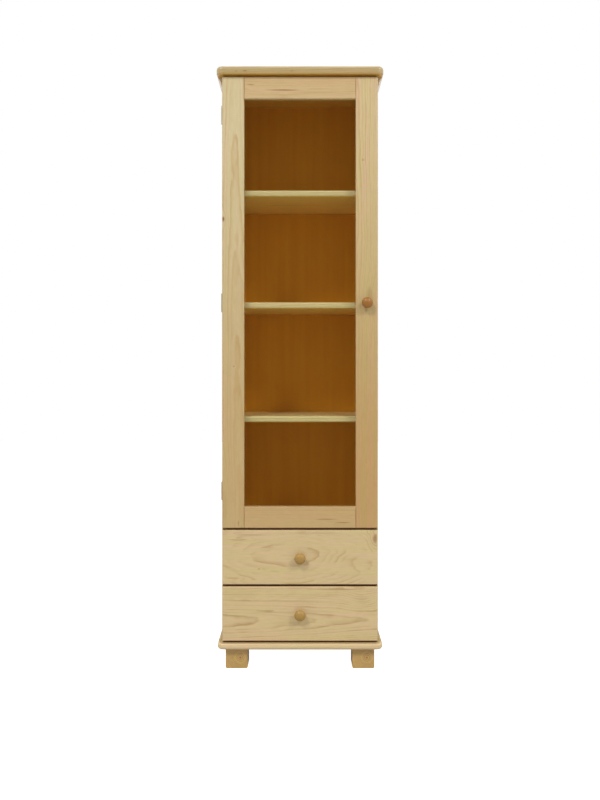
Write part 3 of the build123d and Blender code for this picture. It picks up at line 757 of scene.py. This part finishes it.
def handledMaterial(name, look):
    material = bpy.data.materials.new(name)
    material.use_nodes = True
    tree = material.node_tree
    shader = tree.nodes["Principled BSDF"]
    surface = placeGroup(
        tree, handledGroup, Vector=addNode(tree, "ShaderNodeTexCoord").outputs["Object"],
        Colour=look["colour"], Stretch=look["stretch"], Depth=look["depth"], Roughness=look["roughness"])
    feed(tree, shader.inputs["Base Color"], surface.outputs["Colour"])
    feed(tree, shader.inputs["Roughness"], surface.outputs["Roughness"])
    shader.inputs["Metallic"].default_value = look["metal"]
    relief = addNode(tree, "ShaderNodeBump")
    relief.inputs["Strength"].default_value = handledSurface["reliefStrength"]
    relief.inputs["Distance"].default_value = handledSurface["reliefDepth"]
    feed(tree, relief.inputs["Height"], surface.outputs["Height"])
    feed(tree, shader.inputs["Normal"], relief.outputs[0])
    return material


# Clear float glass, which lets shadow rays and diffuse rays straight through
glassLook = {"tint": (0.93, 0.97, 0.95, 1.0), "ior": 1.45}


def glassMaterial(look):
    material = bpy.data.materials.new("clearGlass")
    material.use_nodes = True
    tree = material.node_tree
    shader = tree.nodes["Principled BSDF"]
    shader.inputs["Base Color"].default_value = look["tint"]
    shader.inputs["Roughness"].default_value = 0.0
    shader.inputs["IOR"].default_value = look["ior"]
    shader.inputs["Transmission Weight"].default_value = 1.0
    through = addNode(tree, "ShaderNodeBsdfTransparent")
    through.inputs[0].default_value = look["tint"]
    rays = addNode(tree, "ShaderNodeLightPath")
    choose = addNode(tree, "ShaderNodeMixShader")
    straight = calc(tree, "MAXIMUM", rays.outputs["Is Shadow Ray"], rays.outputs["Is Diffuse Ray"])
    feed(tree, choose.inputs[0], straight)
    feed(tree, choose.inputs[1], shader.outputs[0])
    feed(tree, choose.inputs[2], through.outputs[0])
    feed(tree, tree.nodes["Material Output"].inputs["Surface"], choose.outputs[0])
    return material


materials = {name: handledMaterial(name, look) for name, look in handledLooks.items()}
materials["brownHardboard"] = hardboardMaterial("brownHardboard", hardboardLook)
boxBottomLook = {**hardboardLook, "brown": linear(196, 148, 92), "dark": linear(178, 130, 76)}
materials["boxBottom"] = hardboardMaterial("boxBottom", boxBottomLook)
materials["clearGlass"] = glassMaterial(glassLook)
slotMaterials = {
    "brown_hardboard": "brownHardboard",
    "clear_glass": "clearGlass",
    "plated_steel": "platedSteel",
    "painted_steel": "paintedSteel",
    "nylon": "mouldedNylon",
    "brown_plastic": "brownPlastic",
    "soft_rubber": "softRubber",
}
for subpart in frame["record"]["subparts"]:
    if subpart["node"] not in pineBoards:
        dress(subpart["node"], materials[slotMaterials[subpart["material_slot"]]])
for level in ("upper", "lower"):
    dress(f"{level}_drawer_bottom", materials["boxBottom"])
print("hardboard, glass, metal and plastic dressed")


# Fasteners, which Geometry Nodes set at their places
def lathe(mesh, profile, segments=20):
    # profile holds (radius, height) pairs from the tip to the head's middle
    rings = []
    for radius, height in profile:
        angles = [2 * math.pi * i / segments for i in range(segments)]
        rings.append([mesh.verts.new((radius * math.cos(a), radius * math.sin(a), height)) for a in angles])
    for lower, upper in zip(rings, rings[1:]):
        for i in range(segments):
            j = (i + 1) % segments
            mesh.faces.new((lower[i], lower[j], upper[j], upper[i]))
    mesh.faces.new(list(reversed(rings[0])))
    return rings[-1]


def crossRecess(mesh, rim, height, arm, slot, depth, taper=0.6):
    # a four-armed recess in a flat face that ends at the ring of corners given as rim
    outline = [(slot, slot), (slot, arm), (-slot, arm), (-slot, slot), (-arm, slot), (-arm, -slot),
               (-slot, -slot), (-slot, -arm), (slot, -arm), (slot, -slot), (arm, -slot), (arm, slot)]
    top = [mesh.verts.new((x, y, height)) for x, y in outline]
    bottom = [mesh.verts.new((taper * x, taper * y, height - depth)) for x, y in outline]
    edges = [mesh.edges.new((a, b)) for a, b in zip(top, top[1:] + top[:1])]
    edges += [mesh.edges.get((a, b)) for a, b in zip(rim, rim[1:] + rim[:1])]
    bmesh.ops.triangle_fill(mesh, use_beauty=True, edges=edges)
    for i in range(len(outline)):
        j = (i + 1) % len(outline)
        mesh.faces.new((top[i], top[j], bottom[j], bottom[i]))
    mesh.faces.new(bottom)


fastenerShapes = {
    # sizes in metres; the head's face is at height 0 and the shank runs down
    "countersunkScrew": dict(
        profile=[(0.0003, -0.015), (0.0010, -0.0135), (0.0017, -0.0125), (0.0017, -0.0019), (0.0034, 0.0)],
        recess=dict(arm=0.0019, slot=0.00042, depth=0.0013)),
    "panHeadScrew": dict(
        profile=[(0.0020, -0.0350), (0.0020, 0.0), (0.0040, 0.0), (0.0040, 0.0011), (0.0034, 0.0021),
                 (0.0025, 0.0024)],
        recess=dict(arm=0.0020, slot=0.00045, depth=0.0012)),
    "runnerScrew": dict(
        profile=[(0.0016, -0.0004), (0.0034, -0.0004), (0.0034, 0.0003), (0.0029, 0.0008), (0.0021, 0.0010)],
        recess=dict(arm=0.0017, slot=0.0004, depth=0.0008)),
    "panelNail": dict(
        profile=[(0.0010, -0.0010), (0.0010, 0.0), (0.0025, 0.0), (0.0026, 0.0003), (0.0021, 0.0007),
                 (0.0009, 0.0009), (0.0002, 0.00095)],
        recess=None),
    "strikeRivet": dict(
        profile=[(0.0012, -0.0004), (0.0022, -0.0004), (0.0021, 0.0000), (0.0014, 0.0002), (0.0003, 0.00025)],
        recess=None),
}


def fastenerShape(name):
    shape = fastenerShapes[name]
    mesh = bmesh.new()
    rim = lathe(mesh, shape["profile"])
    if shape["recess"]:
        crossRecess(mesh, rim, shape["profile"][-1][1], **shape["recess"])
    else:
        mesh.faces.new(rim)
    bmesh.ops.recalc_face_normals(mesh, faces=mesh.faces)
    data = bpy.data.meshes.new(name)
    mesh.to_mesh(data)
    mesh.free()
    piece = bpy.data.objects.new(name, data)
    bpy.context.scene.collection.objects.link(piece)
    return piece


def makeFastenerTree():
    tree = bpy.data.node_groups.new("placeFasteners", "GeometryNodeTree")
    tree.interface.new_socket("Geometry", in_out="INPUT", socket_type="NodeSocketGeometry")
    for label, kind in (("Shape", "NodeSocketObject"), ("Facing", "NodeSocketVector"),
                        ("Finish", "NodeSocketMaterial"), ("Turn", "NodeSocketFloat"),
                        ("Seed", "NodeSocketInt"), ("Size", "NodeSocketFloat")):
        tree.interface.new_socket(label, in_out="INPUT", socket_type=kind)
    tree.interface.new_socket("Geometry", in_out="OUTPUT", socket_type="NodeSocketGeometry")
    given = tree.nodes.new("NodeGroupInput")
    result = tree.nodes.new("NodeGroupOutput")
    points = addNode(tree, "GeometryNodeMeshToPoints")
    feed(tree, points.inputs["Mesh"], given.outputs["Geometry"])
    shape = addNode(tree, "GeometryNodeObjectInfo")
    feed(tree, shape.inputs["Object"], given.outputs["Shape"])
    aim = addNode(tree, "FunctionNodeAlignRotationToVector", axis="Z")
    feed(tree, aim.inputs["Vector"], given.outputs["Facing"])
    chance = addNode(tree, "FunctionNodeRandomValue", data_type="FLOAT")
    feed(tree, chance.inputs[3], given.outputs["Turn"])
    feed(tree, chance.inputs["Seed"], given.outputs["Seed"])
    spin = addNode(tree, "FunctionNodeAxisAngleToRotation")
    spin.inputs["Axis"].default_value = (0, 0, 1)
    feed(tree, spin.inputs["Angle"], chance.outputs[1])
    turned = addNode(tree, "FunctionNodeRotateRotation", rotation_space="LOCAL")
    feed(tree, turned.inputs["Rotation"], aim.outputs[0])
    feed(tree, turned.inputs["Rotate By"], spin.outputs[0])
    placed = addNode(tree, "GeometryNodeInstanceOnPoints")
    feed(tree, placed.inputs["Points"], points.outputs[0])
    feed(tree, placed.inputs["Instance"], shape.outputs["Geometry"])
    feed(tree, placed.inputs["Rotation"], turned.outputs[0])
    feed(tree, placed.inputs["Scale"], given.outputs["Size"])
    real = addNode(tree, "GeometryNodeRealizeInstances")
    feed(tree, real.inputs[0], placed.outputs[0])
    finish = addNode(tree, "GeometryNodeSetMaterial")
    feed(tree, finish.inputs["Geometry"], real.outputs[0])
    feed(tree, finish.inputs["Material"], given.outputs["Finish"])
    feed(tree, result.inputs[0], finish.outputs[0])
    return tree


fastenerTree = makeFastenerTree()


# Sets one shape at all its places as a plain mesh that rides one body
def setFasteners(name, shapeName, places, facing, body, seed=1, turn=6.28, size=1.0):
    mesh = bpy.data.meshes.new(name + "Places")
    mesh.from_pydata(places, [], [])
    holder = bpy.data.objects.new(name + "Places", mesh)
    bpy.context.scene.collection.objects.link(holder)
    shape = fastenerShape(shapeName)
    modifier = holder.modifiers.new("fasteners", "NODES")
    modifier.node_group = fastenerTree
    chosen = {"Shape": shape, "Facing": facing, "Finish": materials["platedSteel"], "Turn": turn,
              "Seed": seed, "Size": size}
    for item in fastenerTree.interface.items_tree:
        if item.in_out == "INPUT" and item.name in chosen:
            modifier[item.identifier] = chosen[item.name]
    evaluated = holder.evaluated_get(bpy.context.evaluated_depsgraph_get())
    piece = bpy.data.objects.new(name, bpy.data.meshes.new_from_object(evaluated))
    bpy.context.scene.collection.objects.link(piece)
    holder.modifiers.remove(modifier)
    bpy.data.objects.remove(holder)
    bpy.data.objects.remove(shape)
    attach(piece, body)
    return piece


# Where the fasteners sit, in metres. The runners' screws are measured back from the model's middle
fastenerPlaces = {
    "hingeEndDistance": 0.120,
    "hingeScrewSpacing": 0.036,
    "nailInset": 0.0045,
    "nailEndDistance": 0.03,
    "nailSpacing": 0.145,
    "nailsAcross": 5,
    "runnerScrews": (-0.095, 0.010, 0.115),
    "railScrews": (-0.110, 0.000, 0.105),
    "runnerSheet": 0.0012,
    "rivetReach": 0.0155,
}


def middleOf(node):
    low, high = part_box(node)
    return tuple((start + end) / 2 for start, end in zip(low, high))


def hingeScrews(layout):
    low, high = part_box("door_left_stile")
    middle = (low.z + high.z) / 2
    hinges = (low.z + layout["hingeEndDistance"], middle, high.z - layout["hingeEndDistance"])
    heights = [hinge + side * layout["hingeScrewSpacing"] / 2 for hinge in hinges for side in (-1, 1)]
    for node, body, facing in (("door_hinge_screws", "door", 1), ("frame_hinge_screws", "cabinet", -1)):
        low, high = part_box(node)
        face = high.y if facing > 0 else low.y
        places = [(middleOf(node)[0], face, height) for height in heights]
        piece = setFasteners(node.replace("_", "."), "countersunkScrew", places, (0, facing, 0), body)
        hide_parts(node)


def knobScrews():
    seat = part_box("door_left_stile")[1].y
    for node, body in (("door_knob_screw", "door"), ("upper_drawer_knob_screw", "upper_drawer"),
                       ("lower_drawer_knob_screw", "lower_drawer")):
        x, _, height = middleOf(node)
        piece = setFasteners(node.replace("_", "."), "panHeadScrew", [(x, seat, height)], (0, 1, 0), body)
        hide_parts(node)


# Nails along both edges of the back panel and into the middle board
def backNails(layout):
    low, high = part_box("back_panel")
    first = low.z + layout["nailEndDistance"]
    length = high.z - low.z - 2 * layout["nailEndDistance"]
    count = int(length / layout["nailSpacing"])
    places = [(x, high.y, first + i * length / count)
              for x in (low.x + layout["nailInset"], high.x - layout["nailInset"])
              for i in range(count + 1)]
    step = (high.x - low.x) / layout["nailsAcross"]
    middle = middleOf("middle_board")[2]
    places += [(low.x + (i + 0.5) * step, high.y, middle) for i in range(layout["nailsAcross"])]
    setFasteners("backNails", "panelNail", places, (0, 1, 0), "cabinet")


# Screws that hold the channels to the side panels
def channelScrews(layout):
    low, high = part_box("runner_channels")
    heights = [middleOf(f"{level}_front_rollers")[2] for level in ("upper", "lower")]
    for side, facing, name in ((low.x, 1, "runnerScrewsLeft"), (high.x, -1, "runnerScrewsRight")):
        web = side + facing * layout["runnerSheet"]
        places = [(web, y, height) for height in heights for y in layout["runnerScrews"]]
        setFasteners(name, "runnerScrew", places, (facing, 0, 0), "cabinet", seed=5)


# Screws that hold the rails to the drawers' sides, which move with each drawer
def railScrews(layout):
    for level in ("upper", "lower"):
        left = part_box(f"{level}_drawer_left_side")[0].x
        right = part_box(f"{level}_drawer_right_side")[1].x
        height = middleOf(f"{level}_drawer_rails")[2]
        for side, facing, hand in ((left, -1, "Left"), (right, 1, "Right")):
            web = side + facing * layout["runnerSheet"]
            places = [(web, y, height) for y in layout["railScrews"]]
            name = f"{level}RailScrews{hand}"
            setFasteners(name, "runnerScrew", places, (facing, 0, 0), f"{level}_drawer", seed=9)


def strikeRivets(layout):
    x, _, height = middleOf("strike_plate")
    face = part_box("strike_plate")[1].y
    places = [(x, face, height + side * layout["rivetReach"]) for side in (-1, 1)]
    setFasteners("strikeRivets", "strikeRivet", places, (0, 1, 0), "door", turn=0.0)


hingeScrews(fastenerPlaces)
knobScrews()
backNails(fastenerPlaces)
channelScrews(fastenerPlaces)
railScrews(fastenerPlaces)
strikeRivets(fastenerPlaces)
print("fasteners set")


# Floor, world and lamps. The floor looks white to the camera, and reflections of the room behind the
# camera are dark, as the photo's glass shows none
studio = {
    "floorColour": (0.64, 0.64, 0.64, 1.0),
    "floorGlow": 0.96,
    "floorHalfWidth": 6.0,
    "floorFront": -3.0,
    "floorBack": 9.0,
    "ambient": 0.59,
    "behindCamera": 0.03,
    "behindReach": (-0.75, -0.25),
    "lamps": [
        dict(name="leftLamp", place=(-4.2, -7.2, 8.9), size=2.4, power=480.0, colour=(1.0, 0.98, 0.95)),
        dict(name="rightLamp", place=(6.2, -6.8, 8.0), size=2.4, power=445.0, colour=(1.0, 0.98, 0.95)),
    ],
    "aim": (0.0, 0.0, 0.85),
}


def makeFloor(look):
    mesh = bpy.data.meshes.new("studioFloor")
    wide, front, back = look["floorHalfWidth"], look["floorFront"], look["floorBack"]
    corners = [(-wide, front, 0), (wide, front, 0), (wide, back, 0), (-wide, back, 0)]
    mesh.from_pydata(corners, [], [(0, 1, 2, 3)])
    floor = bpy.data.objects.new("studioFloor", mesh)
    bpy.context.scene.collection.objects.link(floor)
    material = bpy.data.materials.new("studioFloor")
    material.use_nodes = True
    tree = material.node_tree
    shader = tree.nodes["Principled BSDF"]
    shader.inputs["Base Color"].default_value = look["floorColour"]
    shader.inputs["Roughness"].default_value = 0.9
    shader.inputs["Specular IOR Level"].default_value = 0.0
    shader.inputs["Emission Color"].default_value = (1, 1, 1, 1)
    rays = addNode(tree, "ShaderNodeLightPath")
    seen = calc(tree, "MAXIMUM", rays.outputs["Is Camera Ray"], rays.outputs["Is Transmission Ray"])
    feed(tree, shader.inputs["Emission Strength"], calc(tree, "MULTIPLY", seen, look["floorGlow"]))
    mesh.materials.append(material)


def makeWorld(look):
    world = bpy.data.worlds.new("studioWorld")
    bpy.context.scene.world = world
    world.use_nodes = True
    tree = world.node_tree
    tree.nodes.clear()
    rays = addNode(tree, "ShaderNodeLightPath")
    direction = addNode(tree, "ShaderNodeSeparateXYZ")
    feed(tree, direction.inputs[0], addNode(tree, "ShaderNodeTexCoord").outputs["Generated"])
    away = smoothStep(tree, direction.outputs["Y"], *look["behindReach"])
    mirrored = calc(tree, "MULTIPLY_ADD", away, 1.0 - look["behindCamera"], look["behindCamera"])
    throughOrOff = calc(tree, "MAXIMUM", rays.outputs["Is Glossy Ray"], rays.outputs["Is Transmission Ray"])
    strength = mixValue(tree, throughOrOff, look["ambient"], mirrored)
    strength = mixValue(tree, rays.outputs["Is Camera Ray"], strength, 1.0)
    background = addNode(tree, "ShaderNodeBackground")
    feed(tree, background.inputs["Strength"], strength)
    background.inputs["Color"].default_value = (1, 1, 1, 1)
    output = addNode(tree, "ShaderNodeOutputWorld")
    feed(tree, output.inputs["Surface"], background.outputs[0])


def makeLamps(look):
    for lamp in look["lamps"]:
        data = bpy.data.lights.new(lamp["name"], "AREA")
        data.shape = "SQUARE"
        data.size = lamp["size"]
        data.energy = lamp["power"]
        data.color = lamp["colour"]
        light = bpy.data.objects.new(lamp["name"], data)
        light.location = lamp["place"]
        toward = Vector(look["aim"]) - Vector(lamp["place"])
        light.rotation_euler = toward.to_track_quat("-Z", "Y").to_euler()
        bpy.context.scene.collection.objects.link(light)


makeFloor(studio)
makeWorld(studio)
makeLamps(studio)
bpy.context.scene.view_settings.view_transform = "Standard"
print("studio ready")
